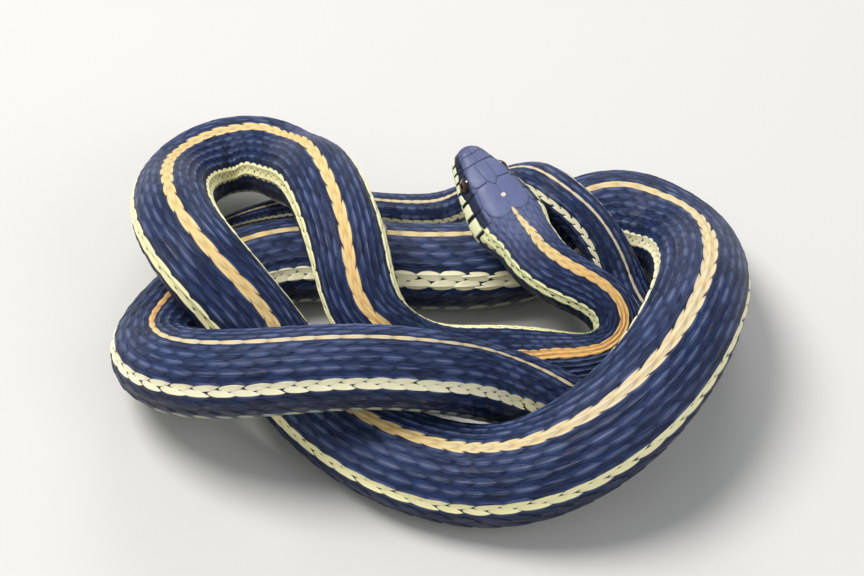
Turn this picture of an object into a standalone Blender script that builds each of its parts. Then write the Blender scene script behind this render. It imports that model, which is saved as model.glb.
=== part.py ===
"""A plains garter snake at rest, lying over itself in two loose loops.

The body is a tube swept along one route from the nape to the tip of the tail.
It is divided into short lengths, with a 0.3 mm gap between neighbours.
The head is lofted from its own sections, with separate eyes set in sockets.
Sizes here are in millimetres, and the finished meshes are in metres.
"""
import math

import bmesh
import bpy
import numpy as np
from mathutils import Matrix, Vector

MM = 0.001

# Driving sizes of the body
BELLY = 0.87
JOINT_GAP = 0.3
RING_STEP = 3.6
RING_SIDES = 24
SPLINE_SAMPLES = 6000
SMOOTH_LENGTH = 9.0
EASE_LENGTH = 8.0
CENTRE_SHIFT = (0.029, 6.399)

# The line of the body's centre: x, y and height above the floor
NECK = ((19.5, -1.1, 22.0), (21.275, -3.323, 21.0), (25.4, -6.3, 19.6), (30.4, -8.2, 17.6))
FIRST_BEND = ((34.7, -10.7, 15.2), (36.3, -14.4, 12.6), (34.0, -17.2, 9.6), (29.2, -17.0, 7.4))
INNER_RUN = ((22.0, -14.4, 5.4), (12.0, -14.4, 5.7), (3.0, -16.4, 7.3), (-5.2, -18.3, 12.4))
LOOP_RIGHT = ((-12.0, -16.0, 19.0), (-15.8, -6.5, 25.5), (-19.0, 4.5, 27.4), (-23.0, 16.2, 24.4),
              (-28.1, 27.6, 16.4))
LOOP_TOP = ((-33.2, 34.6, 12.7), (-38.9, 37.3, 11.1), (-45.0, 36.2, 10.7), (-49.8, 31.3, 11.6),
            (-52.0, 24.0, 14.4))
LOOP_LEFT = ((-51.9, 12.5, 20.9), (-48.3, -1.5, 26.2), (-41.5, -10.7, 23.5), (-34.0, -16.3, 15.5),
             (-28.0, -22.0, 9.8), (-21.5, -29.3, 7.9))
FRONT_RUN = ((-13.5, -37.4, 8.3), (-4.0, -43.5, 8.5), (8.0, -47.1, 8.7), (20.0, -48.3, 12.8))
RIGHT_ARCH = ((31.5, -44.8, 18.6), (40.7, -36.9, 22.4), (47.5, -25.5, 23.4), (51.7, -12.5, 21.0),
              (53.0, 0.5, 15.4), (51.5, 11.0, 10.6))
BACK_BEND = ((47.3, 18.2, 8.2), (41.1, 22.1, 7.5), (34.3, 22.0, 7.4), (28.0, 18.1, 7.3))
BACK_RUN = ((21.5, 12.5, 7.2), (14.5, 9.7, 7.2), (7.0, 8.5, 7.2), (-4.0, 8.5, 7.2),
            (-15.0, 9.8, 7.1), (-26.0, 10.4, 7.1), (-37.0, 7.8, 7.1), (-46.0, 0.6, 7.3))
LEFT_BEND = ((-51.8, -9.0, 8.3), (-53.3, -19.0, 12.0), (-49.6, -27.6, 17.0))
TOP_RUN = ((-42.0, -33.6, 22.3), (-32.0, -36.3, 25.8), (-21.0, -36.7, 27.4), (-10.0, -36.2, 27.2),
           (1.0, -34.4, 23.6), (11.0, -31.2, 16.8), (21.0, -30.3, 11.0), (30.5, -31.9, 7.1))
VENT_BEND = ((39.8, -29.8, 5.9), (46.5, -22.0, 5.1))
TAIL_ROOT = ((45.9, -11.8, 4.8), (41.4, -3.9, 6.0), (37.6, 2.4, 10.2), (34.2, 6.5, 15.6))
TAIL_OVER = ((30.8, 9.6, 19.4), (26.5, 13.0, 22.0), (22.8, 16.8, 22.0), (17.6, 23.0, 16.5),
             (9.5, 27.8, 8.0))
TAIL_RUN = ((1.5, 28.5, 3.4), (-8.0, 29.0, 2.8), (-19.0, 31.0, 2.4), (-31.0, 30.5, 2.0),
            (-42.0, 27.0, 1.6), (-50.0, 22.5, 0.9))
ROUTE = (NECK + FIRST_BEND + INNER_RUN + LOOP_RIGHT + LOOP_TOP + LOOP_LEFT + FRONT_RUN + RIGHT_ARCH
         + BACK_BEND + BACK_RUN + LEFT_BEND + TOP_RUN + VENT_BEND + TAIL_ROOT + TAIL_OVER + TAIL_RUN)

# Along the route: distance from the nape, then the value there
GIRTH = ((0, 6.3), (5, 6.1), (14, 5.4), (35, 5.4), (61.5, 6.8), (96.5, 8.0), (161.5, 8.2),
         (231.5, 8.9), (271.5, 9.8), (301.5, 10.1), (331.5, 9.7), (366.5, 9.5), (391.5, 9.4),
         (416.5, 9.2), (471.5, 8.9), (531.5, 8.6), (561.5, 8.1), (591.5, 7.4), (621.5, 6.6),
         (641.5, 5.5), (671.5, 4.7), (711.5, 3.8), (736.5, 2.9), (755.5, 1.7), (767.5, 0.6))
ROLL = ((0, 4), (8, 8), (17, 6), (26, -10), (34, -28), (44, -42), (62, -42), (74, -28), (96.5, -6),
        (161.5, 0), (226.5, 8), (291.5, 6), (341.5, 8), (391.5, 0), (416.5, 8), (461.5, 12),
        (511.5, 0), (551.5, -2), (661.5, 0), (681.5, -12), (767.5, -12))
WIDENING = ((0, 0.0), (391.5, 0.02), (421.5, 0.06), (461.5, 0.10), (501.5, 0.08), (541.5, -0.04),
            (611.5, -0.04), (651.5, 0.0), (767.5, 0.0))

# Where the lengths of the body end, as distances from the nape
NECK_ENDS = (0, 11, 37.5)
TRUNK_ENDS = (37.5, 63.5, 93.5, 121.5, 144.5, 168.5, 195.5, 229.5, 263.5, 295.5, 327.5, 355.5,
              379.5, 405.5, 437.5, 473.5, 507.5, 543.5, 579.5, 613.5)
TAIL_ENDS = (613.5, 643.5, 675.5, 707.5, 737.5)

# The head, from the nape to the tip of the snout
HEAD_LENGTH = 25.2
NAPE_RADIUS = 6.22
HEAD_SIDES = 9
LIP_SIDES = 3
JAW_SIDES = 6
HEAD_RINGS = 30
NOSE_RINGS = 8
HALF_WIDTH = ((0.0, 6.3), (0.12, 7.0), (0.24, 7.9), (0.33, 8.15), (0.45, 7.65), (0.59, 6.7),
              (0.69, 6.0), (0.8, 5.0), (0.9, 4.0), (1.0, 3.1))
CROWN = ((0.0, 5.7), (0.2, 5.0), (0.45, 4.55), (0.62, 4.4), (0.75, 3.8), (0.88, 2.95), (1.0, 2.4))
CHIN = ((0.0, 4.9), (0.2, 4.35), (0.45, 3.85), (0.65, 3.35), (0.8, 2.9), (0.92, 2.35), (1.0, 2.0))
# The side of the head from crown to lip: share of the way round, then share of width or height
FLANK = ((-0.15, -0.2), (0.0, 0.0), (0.15, 0.2), (0.3, 0.39), (0.45, 0.56), (0.55, 0.66),
         (0.65, 0.745), (0.75, 0.83), (0.82, 0.885), (0.9, 0.94), (1.0, 1.0), (1.1, 1.04))
ROOF = ((-0.15, 0.985), (0.0, 1.0), (0.15, 0.985), (0.3, 0.945), (0.45, 0.865), (0.55, 0.765),
        (0.65, 0.64), (0.75, 0.5), (0.82, 0.39), (0.9, 0.235), (1.0, 0.0), (1.1, -0.24))
MOUTH = ((0.0, -0.7), (0.22, -0.6), (0.36, -1.05), (0.6, -1.25), (0.85, -1.05), (1.0, -0.9))
MOUTH_CORNER = 0.24
MOUTH_DEPTH = 0.55
MOUTH_GAPE = 0.22
NOSE_START = 0.9
EYE_PLACE = (0.7, 3.9, 1.15)
EYE_RADIUS = 1.75
EYE_GAP = 0.12
BROW_RISE = 0.35
NOSTRIL_PLACE = (0.93, 3.0, 0.75)
NOSTRIL_RADIUS = 0.42

SKIN_COLOUR = (0.022, 0.026, 0.055, 1.0)
HEAD_COLOUR = (0.13, 0.14, 0.24, 1.0)
EYE_COLOUR = (0.01, 0.009, 0.008, 1.0)


def spline_through(points):
    """A natural cubic spline, sampled closely, through points spaced unevenly."""
    p = np.array(points, float)
    n = len(p)
    knots = np.concatenate([[0.0], np.cumsum(np.sqrt(np.linalg.norm(np.diff(p, axis=0), axis=1)))])
    h = np.diff(knots)
    matrix = np.zeros((n, n))
    right = np.zeros((n, 3))
    matrix[0, 0] = 1.0
    matrix[-1, -1] = 1.0
    for i in range(1, n - 1):
        matrix[i, i - 1] = h[i - 1]
        matrix[i, i] = 2.0 * (h[i - 1] + h[i])
        matrix[i, i + 1] = h[i]
        right[i] = 6.0 * ((p[i + 1] - p[i]) / h[i] - (p[i] - p[i - 1]) / h[i - 1])
    bend = np.linalg.solve(matrix, right)
    u = np.linspace(0.0, knots[-1], SPLINE_SAMPLES)
    k = np.clip(np.searchsorted(knots, u, side="right") - 1, 0, n - 2)
    a = (knots[k + 1] - u)[:, None]
    b = (u - knots[k])[:, None]
    w = h[k][:, None]
    curve = (bend[k] * a ** 3 + bend[k + 1] * b ** 3) / (6.0 * w)
    return curve + (p[k] / w - bend[k] * w / 6.0) * a + (p[k + 1] / w - bend[k + 1] * w / 6.0) * b


def along(table, s):
    """The table's value at each distance, with its corners eased over SMOOTH_LENGTH."""
    place, value = zip(*table)
    shifts = np.linspace(-SMOOTH_LENGTH, SMOOTH_LENGTH, 9)
    weights = 1.0 - np.abs(shifts) / (SMOOTH_LENGTH * 1.2)
    total = sum(w * np.interp(np.asarray(s) + d, place, value) for d, w in zip(shifts, weights))
    return total / weights.sum()


class Route:
    """The body's centre line, with its directions, at any distance from the nape."""

    def __init__(self):
        curve = spline_through(ROUTE)
        self.s = np.concatenate([[0.0], np.cumsum(np.linalg.norm(np.diff(curve, axis=0), axis=1))])
        self.length = self.s[-1]
        belly = BELLY * along(GIRTH, self.s) / (1.0 + along(WIDENING, self.s))
        curve[:, 2] = self.rest_on_floor(curve[:, 2], belly)
        curve[:, 0] += CENTRE_SHIFT[0]
        curve[:, 1] += CENTRE_SHIFT[1]
        self.curve = curve
        self.direction = np.gradient(curve, self.s, axis=0)

    def rest_on_floor(self, heights, least):
        """Lifts what would sink into the floor, then eases the lift along the route."""
        lift = np.maximum(least - heights, 0.0)
        window = np.hanning(int(EASE_LENGTH / self.length * SPLINE_SAMPLES) * 2 + 1)
        eased_lift = np.convolve(lift, window / window.sum(), mode="same")
        return heights + np.maximum(eased_lift, 0.0)

    def at(self, s):
        """Centre, direction, back and right-hand side at one distance."""
        centre = np.array([np.interp(s, self.s, self.curve[:, i]) for i in range(3)])
        ahead = np.array([np.interp(s, self.s, self.direction[:, i]) for i in range(3)])
        ahead /= np.linalg.norm(ahead)
        up = np.array([0.0, 0.0, 1.0]) - ahead * ahead[2]
        up /= np.linalg.norm(up)
        side = np.cross(ahead, up)
        turn = math.radians(float(along(ROLL, s)))
        back = up * math.cos(turn) + side * math.sin(turn)
        right = side * math.cos(turn) - up * math.sin(turn)
        return centre, ahead, back, right


def body_ring(route, s):
    """One ring of the body: round above, flat along the belly, never below the floor."""
    centre, ahead, back, right = route.at(s)
    radius = float(along(GIRTH, s))
    widening = 1.0 + float(along(WIDENING, s))
    ring = []
    for k in range(RING_SIDES):
        angle = 2.0 * math.pi * k / RING_SIDES
        out = radius * widening * math.sin(angle)
        high = max(radius / widening * math.cos(angle), -BELLY * radius / widening)
        point = centre + right * out + back * high
        point[2] = max(point[2], 0.0)
        ring.append(point)
    return ring


def skin_material(name, colour, roughness):
    material = bpy.data.materials.new(name)
    material.use_nodes = True
    shader = material.node_tree.nodes["Principled BSDF"]
    shader.inputs["Base Color"].default_value = colour
    shader.inputs["Roughness"].default_value = roughness
    shader.inputs["Metallic"].default_value = 0.0
    return material


def add_object(name, bm, material):
    """Turns a closed bmesh in millimetres into an object in metres."""
    bmesh.ops.recalc_face_normals(bm, faces=bm.faces)
    bmesh.ops.scale(bm, vec=(MM, MM, MM), verts=bm.verts)
    mesh = bpy.data.meshes.new(name)
    bm.to_mesh(mesh)
    bm.free()
    mesh.materials.append(material)
    shape = bpy.data.objects.new(name, mesh)
    bpy.context.scene.collection.objects.link(shape)
    return shape


def loft(rings):
    """A closed bmesh through rings of equal count, with a fan at each end."""
    bm = bmesh.new()
    loops = [[bm.verts.new(p) for p in ring] for ring in rings]
    count = len(rings[0])
    for one, two in zip(loops, loops[1:]):
        for k in range(count):
            bm.faces.new((one[k], one[(k + 1) % count], two[(k + 1) % count], two[k]))
    for loop in (loops[0], loops[-1]):
        centre = sum((v.co for v in loop), Vector()) / count
        hub = bm.verts.new(centre)
        for k in range(count):
            bm.faces.new((loop[k], loop[(k + 1) % count], hub))
    return bm


def body_length(route, name, start, end, material):
    """One length of the body between two flat cuts."""
    first = start + JOINT_GAP / 2.0
    last = end - JOINT_GAP / 2.0
    steps = max(2, round((last - first) / RING_STEP))
    rings = [body_ring(route, first + (last - first) * i / steps) for i in range(steps + 1)]
    return add_object(name, loft(rings), material)


def eased(table, u):
    place, value = zip(*table)
    near = [float(np.interp(u + d, place, value)) for d in (-0.05, 0.0, 0.05)]
    return 0.25 * near[0] + 0.5 * near[1] + 0.25 * near[2]


def head_section(u):
    """Half of one section of the head, from crown to chin, as (out, high) pairs."""
    nose = max(0.0, (u - NOSE_START) / (1.0 - NOSE_START))
    close = math.sqrt(max(0.0, 1.0 - nose ** 2.4))
    width = eased(HALF_WIDTH, u) * close
    mouth = eased(MOUTH, u)
    crown = mouth + (eased(CROWN, u) - mouth) * (0.35 + 0.65 * close) * min(1.0, close * 4.0)
    chin = mouth - (eased(CHIN, u) + mouth) * (0.3 + 0.7 * close) * min(1.0, close * 4.0)
    head_share = min(1.0, max(0.0, u / 0.22))
    head_share = head_share * head_share * (3.0 - 2.0 * head_share)
    gape = min(1.0, max(0.0, (u - MOUTH_CORNER) / 0.05)) * min(1.0, close * 2.0)
    points = []
    for k in range(HEAD_SIDES + 1):
        t = k / HEAD_SIDES
        angle = t * math.radians(90.0)
        out = width * eased(FLANK, t)
        high = mouth + (crown - mouth) * eased(ROOF, t)
        brow = math.exp(-((u - 0.7) / 0.09) ** 2 - ((t - 0.52) / 0.14) ** 2)
        out += BROW_RISE * brow
        high += 0.5 * BROW_RISE * brow
        round_out = NAPE_RADIUS * math.sin(angle)
        round_high = NAPE_RADIUS * math.cos(angle)
        points.append((out, high, round_out, round_high))
    depths = (0.35, 1.0, 0.35)
    for k in range(LIP_SIDES):
        out = width - MOUTH_DEPTH * gape * depths[k] * close
        high = mouth - MOUTH_GAPE * (k + 1) / (LIP_SIDES + 1)
        angle = math.radians(90.0 + 3.0 * (k + 1))
        points.append((out, high, NAPE_RADIUS * math.sin(angle), NAPE_RADIUS * math.cos(angle)))
    low = mouth - MOUTH_GAPE
    for k in range(JAW_SIDES + 1):
        t = k / JAW_SIDES
        angle = t * math.radians(90.0)
        out = width * 0.985 * math.cos(angle) ** 0.8
        high = low + (chin - low) * math.sin(angle) ** 0.9
        turn = math.radians(102.0 + 78.0 * t)
        points.append((out, high, NAPE_RADIUS * math.sin(turn),
                       NAPE_RADIUS * max(math.cos(turn), -BELLY)))
    mixed = []
    for out, high, round_out, round_high in points:
        mixed.append((round_out + (out - round_out) * head_share,
                      round_high + (high - round_high) * head_share))
    return mixed


def head_point(place, out, u, high):
    """A point of the head, from its share of the head's length."""
    return place @ Vector((out, u * HEAD_LENGTH, high))


def head_rings(place):
    """All rings of the head, placed in the world."""
    spots = [NOSE_START * i / HEAD_RINGS for i in range(HEAD_RINGS)]
    spots[0] = JOINT_GAP / 2.0 / HEAD_LENGTH
    spots += [NOSE_START + (1.0 - NOSE_START) * math.sin(math.radians(88.0) * i / NOSE_RINGS)
              for i in range(NOSE_RINGS + 1)]
    rings = []
    for u in spots:
        half = head_section(u)
        left = [(-out, high) for out, high in reversed(half[1:-1])]
        rings.append([head_point(place, out, u, high) for out, high in half + left])
    return rings


def head_place(route):
    """The head's own frame: +Y to the snout, +Z to the crown, starting at the nape."""
    centre, ahead, back, right = route.at(0.0)
    forward = Vector(-ahead)
    crown = Vector(back)
    side = forward.cross(crown)
    frame = Matrix((side, forward, crown)).transposed().to_4x4()
    return Matrix.Translation(Vector(centre)) @ frame


def ball(name, centre, radius, material, rows, sides):
    bm = bmesh.new()
    bmesh.ops.create_uvsphere(bm, u_segments=sides, v_segments=rows, radius=radius)
    bmesh.ops.translate(bm, vec=centre, verts=bm.verts)
    return add_object(name, bm, material)


def cut(body, cutter):
    modifier = body.modifiers.new(cutter.name, "BOOLEAN")
    modifier.operation = "DIFFERENCE"
    modifier.solver = "EXACT"
    modifier.object = cutter
    cutter.hide_render = True
    cutter.display_type = "WIRE"


def build_head(route, skin, eye_material):
    place = head_place(route)
    head = add_object("head", loft(head_rings(place)), skin)
    for side, sign in (("left", -1.0), ("right", 1.0)):
        u, out, high = EYE_PLACE
        centre = head_point(place, sign * out, u, high)
        ball("eye_" + side, centre, EYE_RADIUS, eye_material, 12, 16)
        socket = ball("cut_socket_" + side, centre, EYE_RADIUS + EYE_GAP, skin, 12, 16)
        cut(head, socket)
        u, out, high = NOSTRIL_PLACE
        centre = head_point(place, sign * out, u, high)
        nostril = ball("cut_nostril_" + side, centre, NOSTRIL_RADIUS, skin, 6, 8)
        cut(head, nostril)


def main():
    for old in list(bpy.data.objects):
        bpy.data.objects.remove(old, do_unlink=True)
    skin = skin_material("dark_skin", SKIN_COLOUR, 0.5)
    head_skin = skin_material("head_skin", HEAD_COLOUR, 0.45)
    eye_material = skin_material("eye", EYE_COLOUR, 0.08)
    route = Route()
    build_head(route, head_skin, eye_material)
    lengths = []
    for label, ends in (("neck", NECK_ENDS), ("trunk", TRUNK_ENDS), ("tail", TAIL_ENDS)):
        for i, (start, end) in enumerate(zip(ends, ends[1:])):
            lengths.append((f"{label}_{i + 1:02d}", start, end))
    lengths.append(("tail_tip", TAIL_ENDS[-1], route.length + JOINT_GAP / 2.0))
    for name, start, end in lengths:
        body_length(route, name, start, end, skin)


main()
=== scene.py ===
"""The looks of a resting plains garter snake: skin, scales, belly scutes, head shields and eyes."""
import math

import bmesh
import bpy
import numpy as np
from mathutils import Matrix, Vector


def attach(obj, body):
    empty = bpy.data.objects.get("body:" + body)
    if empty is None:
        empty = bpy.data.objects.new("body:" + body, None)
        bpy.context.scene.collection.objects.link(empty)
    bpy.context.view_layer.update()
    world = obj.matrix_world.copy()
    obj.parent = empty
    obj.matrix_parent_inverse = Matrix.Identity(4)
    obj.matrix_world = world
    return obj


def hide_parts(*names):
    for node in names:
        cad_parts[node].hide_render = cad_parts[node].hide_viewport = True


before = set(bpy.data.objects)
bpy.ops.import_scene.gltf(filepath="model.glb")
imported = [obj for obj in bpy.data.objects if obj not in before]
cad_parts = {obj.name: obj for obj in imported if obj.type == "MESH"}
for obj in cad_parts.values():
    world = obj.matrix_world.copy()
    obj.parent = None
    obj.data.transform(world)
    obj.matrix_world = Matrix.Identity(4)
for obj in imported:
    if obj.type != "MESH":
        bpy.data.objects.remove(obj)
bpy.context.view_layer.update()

MM = 0.001

# Camera, aimed at the point in the middle of the picture
ELEVATION = 47.0
DISTANCE = 520.0
AIM = (0.029, 6.399, 10.0)
LENS = 108.33

# The body in millimetres, as in the solids: how deep its belly is for its girth, and how gently
# its tables and its rest on the floor are eased
BELLY = 0.87
SPLINE_SAMPLES = 6000
SMOOTH_LENGTH = 9.0
EASE_LENGTH = 8.0

# The line of the body's centre, from the nape to the tip of the tail, moved so that the coils lie
# round the origin
CENTRE_SHIFT = AIM[:2]
NECK = ((19.5, -1.1, 22.0), (21.275, -3.323, 21.0), (25.4, -6.3, 19.6), (30.4, -8.2, 17.6))
FIRST_BEND = ((34.7, -10.7, 15.2), (36.3, -14.4, 12.6), (34.0, -17.2, 9.6), (29.2, -17.0, 7.4))
INNER_RUN = ((22.0, -14.4, 5.4), (12.0, -14.4, 5.7), (3.0, -16.4, 7.3), (-5.2, -18.3, 12.4))
LOOP_RIGHT = ((-12.0, -16.0, 19.0), (-15.8, -6.5, 25.5), (-19.0, 4.5, 27.4), (-23.0, 16.2, 24.4),
              (-28.1, 27.6, 16.4))
LOOP_TOP = ((-33.2, 34.6, 12.7), (-38.9, 37.3, 11.1), (-45.0, 36.2, 10.7), (-49.8, 31.3, 11.6),
            (-52.0, 24.0, 14.4))
LOOP_LEFT = ((-51.9, 12.5, 20.9), (-48.3, -1.5, 26.2), (-41.5, -10.7, 23.5), (-34.0, -16.3, 15.5),
             (-28.0, -22.0, 9.8), (-21.5, -29.3, 7.9))
FRONT_RUN = ((-13.5, -37.4, 8.3), (-4.0, -43.5, 8.5), (8.0, -47.1, 8.7), (20.0, -48.3, 12.8))
RIGHT_ARCH = ((31.5, -44.8, 18.6), (40.7, -36.9, 22.4), (47.5, -25.5, 23.4), (51.7, -12.5, 21.0),
              (53.0, 0.5, 15.4), (51.5, 11.0, 10.6))
BACK_BEND = ((47.3, 18.2, 8.2), (41.1, 22.1, 7.5), (34.3, 22.0, 7.4), (28.0, 18.1, 7.3))
BACK_RUN = ((21.5, 12.5, 7.2), (14.5, 9.7, 7.2), (7.0, 8.5, 7.2), (-4.0, 8.5, 7.2),
            (-15.0, 9.8, 7.1), (-26.0, 10.4, 7.1), (-37.0, 7.8, 7.1), (-46.0, 0.6, 7.3))
LEFT_BEND = ((-51.8, -9.0, 8.3), (-53.3, -19.0, 12.0), (-49.6, -27.6, 17.0))
TOP_RUN = ((-42.0, -33.6, 22.3), (-32.0, -36.3, 25.8), (-21.0, -36.7, 27.4), (-10.0, -36.2, 27.2),
           (1.0, -34.4, 23.6), (11.0, -31.2, 16.8), (21.0, -30.3, 11.0), (30.5, -31.9, 7.1))
VENT_BEND = ((39.8, -29.8, 5.9), (46.5, -22.0, 5.1))
TAIL_ROOT = ((45.9, -11.8, 4.8), (41.4, -3.9, 6.0), (37.6, 2.4, 10.2), (34.2, 6.5, 15.6))
TAIL_OVER = ((30.8, 9.6, 19.4), (26.5, 13.0, 22.0), (22.8, 16.8, 22.0), (17.6, 23.0, 16.5),
             (9.5, 27.8, 8.0))
TAIL_RUN = ((1.5, 28.5, 3.4), (-8.0, 29.0, 2.8), (-19.0, 31.0, 2.4), (-31.0, 30.5, 2.0),
            (-42.0, 27.0, 1.6), (-50.0, 22.5, 0.9))
ROUTE = (NECK + FIRST_BEND + INNER_RUN + LOOP_RIGHT + LOOP_TOP + LOOP_LEFT + FRONT_RUN + RIGHT_ARCH
         + BACK_BEND + BACK_RUN + LEFT_BEND + TOP_RUN + VENT_BEND + TAIL_ROOT + TAIL_OVER + TAIL_RUN)

# Along the route: distance from the nape, then the value there
GIRTH = ((0, 6.3), (5, 6.1), (14, 5.4), (35, 5.4), (61.5, 6.8), (96.5, 8.0), (161.5, 8.2),
         (231.5, 8.9), (271.5, 9.8), (301.5, 10.1), (331.5, 9.7), (366.5, 9.5), (391.5, 9.4),
         (416.5, 9.2), (471.5, 8.9), (531.5, 8.6), (561.5, 8.1), (591.5, 7.4), (621.5, 6.6),
         (641.5, 5.5), (671.5, 4.7), (711.5, 3.8), (736.5, 2.9), (755.5, 1.7), (767.5, 0.6))
ROLL = ((0, 4), (8, 8), (17, 6), (26, -10), (34, -28), (44, -42), (62, -42), (74, -28), (96.5, -6),
        (161.5, 0), (226.5, 8), (291.5, 6), (341.5, 8), (391.5, 0), (416.5, 8), (461.5, 12),
        (511.5, 0), (551.5, -2), (661.5, 0), (681.5, -12), (767.5, -12))
WIDENING = ((0, 0.0), (391.5, 0.02), (421.5, 0.06), (461.5, 0.10), (501.5, 0.08), (541.5, -0.04),
            (611.5, -0.04), (651.5, 0.0), (767.5, 0.0))

# How far the coat reaches out from the skin, from the snout to the tip of the tail
COAT_DEPTH = ((-26, 0.2), (-9, 0.24), (0, 0.3), (30, 0.34), (95, 0.44), (590, 0.42), (670, 0.32),
              (730, 0.2), (767, 0.1))

# Kept free between the finished coat and the outline of the solids
CLEARANCE = 0.03

# The head, from the nape to the tip of the snout, as in the solids
HEAD_LENGTH = 25.2
NAPE_RADIUS = 6.22
HALF_WIDTH = ((0.0, 6.3), (0.12, 7.0), (0.24, 7.9), (0.33, 8.15), (0.45, 7.65), (0.59, 6.7),
              (0.69, 6.0), (0.8, 5.0), (0.9, 4.0), (1.0, 3.1))
CROWN = ((0.0, 5.7), (0.2, 5.0), (0.45, 4.55), (0.62, 4.4), (0.75, 3.8), (0.88, 2.95), (1.0, 2.4))
CHIN = ((0.0, 4.9), (0.2, 4.35), (0.45, 3.85), (0.65, 3.35), (0.8, 2.9), (0.92, 2.35), (1.0, 2.0))
# The side of the head from crown to lip: share of the way round, then share of width or height
FLANK = ((-0.15, -0.2), (0.0, 0.0), (0.15, 0.2), (0.3, 0.39), (0.45, 0.56), (0.55, 0.66),
         (0.65, 0.745), (0.75, 0.83), (0.82, 0.885), (0.9, 0.94), (1.0, 1.0), (1.1, 1.04))
ROOF = ((-0.15, 0.985), (0.0, 1.0), (0.15, 0.985), (0.3, 0.945), (0.45, 0.865), (0.55, 0.765),
        (0.65, 0.64), (0.75, 0.5), (0.82, 0.39), (0.9, 0.235), (1.0, 0.0), (1.1, -0.24))
MOUTH = ((0.0, -0.7), (0.22, -0.6), (0.36, -1.05), (0.6, -1.25), (0.85, -1.05), (1.0, -0.9))
MOUTH_CORNER = 0.24
MOUTH_DEPTH = 0.55
MOUTH_GAPE = 0.22
NOSE_START = 0.9
SNOUT_HEART = 0.86
LIP_ANGLE = 90.0
JAW_ANGLE = 102.0
EYE_PLACE = (0.7, 3.9, 1.15)
EYE_RADIUS = 1.75
EYE_DEPTH = 0.86
BROW_RISE = 0.35
NOSTRIL_PLACE = (0.93, 3.0, 0.75)
NOSTRIL_RADIUS = 0.42

# Half the width and the height of the snout's front, on which its two plates are drawn
SNOUT_SIZE = (3.0, 3.2)

# Rows of scales on each side, counted from the middle of the back, and where each one ends
SIDE_ROWS = 9
VENTRAL_EDGE = 118.0
BACK_ROW_WIDTH = 8.63
ROW_GROWTH = 0.8
ROW_END = {5: 420.0, 4: 586.0, 3: 627.0, 9: 646.0, 2: 659.0, 8: 691.0}
ROW_FADE = 10.0
ROW_START = (-10.9, -10.2, -10.2, -10.7, -11.1, -10.4, -10.4, -9.8, -6.8, -5.4)
# Rows of small scales on the throat: number, outer edge, and where each one starts and ends
THROAT_ROWS = ((10, 130.0, -11.9, -1.5), (11, 141.0, -11.9, -4.5), (12, 152.0, -11.9, -8.0))
THROAT_SCUTES = (-12.2, -10.9, -9.6, -8.3, -7.2)
THROAT_EDGE = ((-12.0, 150.0), (-7.0, 141.0), (0.0, 111.0))
VENT = 613.0
SCALE_LENGTH = 1.75
SCALE_HALF_WIDTH = 0.62
SCALE_THICKNESS = 0.11
KEEL_RISE = 0.15
# One scale: places along it and its half width there, then places across it
SCALE_ALONG = (0.0, 0.18, 0.38, 0.58, 0.76, 0.9, 1.0)
SCALE_WIDTHS = (0.62, 0.92, 1.0, 0.97, 0.8, 0.52, 0.16)
SCALE_ACROSS = (-1.0, -0.62, -0.17, 0.0, 0.17, 0.62, 1.0)

# Belly scutes: places along one, and how many points lie across a whole one and one of a pair
SCUTE_ALONG = (0.0, 0.3, 0.6, 0.85, 1.0)
WHOLE_COLUMNS = 17
PAIR_COLUMNS = 9
PAIR_OVERLAP = 2.5
SCUTE_TUCK = 7.0

# Head shields: points round one, its rings as shares of its size and height, and the gap to the next
SHIELD_SIDES = 44
SHIELD_RINGS = ((1.0, 0.72), (0.98, 0.9), (0.94, 0.975), (0.8, 1.0), (0.5, 1.0), (0.25, 1.0))
SHIELD_SEAM = 0.02

# How the unrolled skin is folded into strips for the baked map, and the size of one scale on it
MAP_START = -28.0
STRIPS = 4
STRIP_LENGTH = 201.0
PATCH = (0.0045, 0.003)


def spline_through(points):
    """A natural cubic spline, sampled closely, through points spaced unevenly."""
    p = np.array(points, float)
    n = len(p)
    knots = np.concatenate([[0.0], np.cumsum(np.sqrt(np.linalg.norm(np.diff(p, axis=0), axis=1)))])
    h = np.diff(knots)
    matrix = np.eye(n)
    right = np.zeros((n, 3))
    for i in range(1, n - 1):
        matrix[i, i - 1:i + 2] = h[i - 1], 2.0 * (h[i - 1] + h[i]), h[i]
        right[i] = 6.0 * ((p[i + 1] - p[i]) / h[i] - (p[i] - p[i - 1]) / h[i - 1])
    bend = np.linalg.solve(matrix, right)
    u = np.linspace(0.0, knots[-1], SPLINE_SAMPLES)
    k = np.clip(np.searchsorted(knots, u, side="right") - 1, 0, n - 2)
    a = (knots[k + 1] - u)[:, None]
    b = (u - knots[k])[:, None]
    w = h[k][:, None]
    curve = (bend[k] * a ** 3 + bend[k + 1] * b ** 3) / (6.0 * w)
    return curve + (p[k] / w - bend[k] * w / 6.0) * a + (p[k + 1] / w - bend[k + 1] * w / 6.0) * b


def eased(table, u, reach):
    """The table's value at u, with its corners rounded off over the reach."""
    place, value = zip(*table)
    shifts = np.linspace(-reach, reach, 9)
    weights = 1.0 - np.abs(shifts) / (reach * 1.2)
    total = sum(w * np.interp(np.asarray(u) + d, place, value) for d, w in zip(shifts, weights))
    return total / weights.sum()


def head_table(table, u):
    place, value = zip(*table)
    near = [np.interp(u + d, place, value) for d in (-0.05, 0.0, 0.05)]
    return 0.25 * near[0] + 0.5 * near[1] + 0.25 * near[2]


def nose_close(u):
    """How far the head's outline has closed in at the snout: 1 behind the nose, 0 at its tip."""
    nose = np.clip((u - NOSE_START) / (1.0 - NOSE_START), 0.0, 1.0)
    return np.sqrt(np.maximum(0.0, 1.0 - nose ** 2.4))


def smooth(x):
    x = np.clip(x, 0.0, 1.0)
    return x * x * (3.0 - 2.0 * x)


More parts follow.
